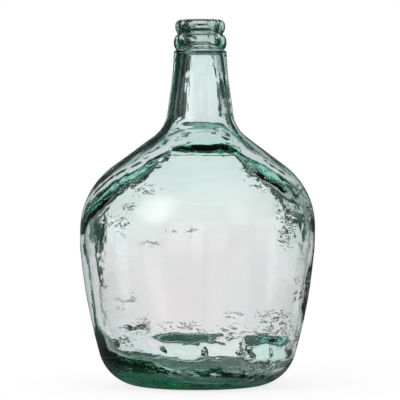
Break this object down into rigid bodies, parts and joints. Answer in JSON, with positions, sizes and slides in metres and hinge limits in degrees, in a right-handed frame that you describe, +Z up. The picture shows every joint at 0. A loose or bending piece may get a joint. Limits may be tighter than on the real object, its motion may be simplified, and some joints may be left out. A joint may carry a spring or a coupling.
{
  "type": "glass carboy",
  "caption": "Round-shouldered blown glass carboy with a long neck, a collar and lip round its open mouth, and a pushed-up floor on a flat ring.",
  "frame": {"origin": "centre of the flat ring that the carboy stands on, at the height of the surface it stands on", "axes": "+Z up along the carboy's axis of symmetry, out of its mouth; X and Y are level and alike"},
  "size_m": [0.1934, 0.1934, 0.3],
  "materials": {
    "glass": "pale green blown glass, clear and glossy, with a soft ripple all over"
  },
  "bodies": {
    "root": {"base": "glass", "heel": "glass", "body_wall": "glass", "belly": "glass", "shoulder": "glass", "shoulder_slope": "glass", "neck_root": "glass", "neck": "glass", "collar": "glass", "lip": "glass"}
  },
  "joints": []
}
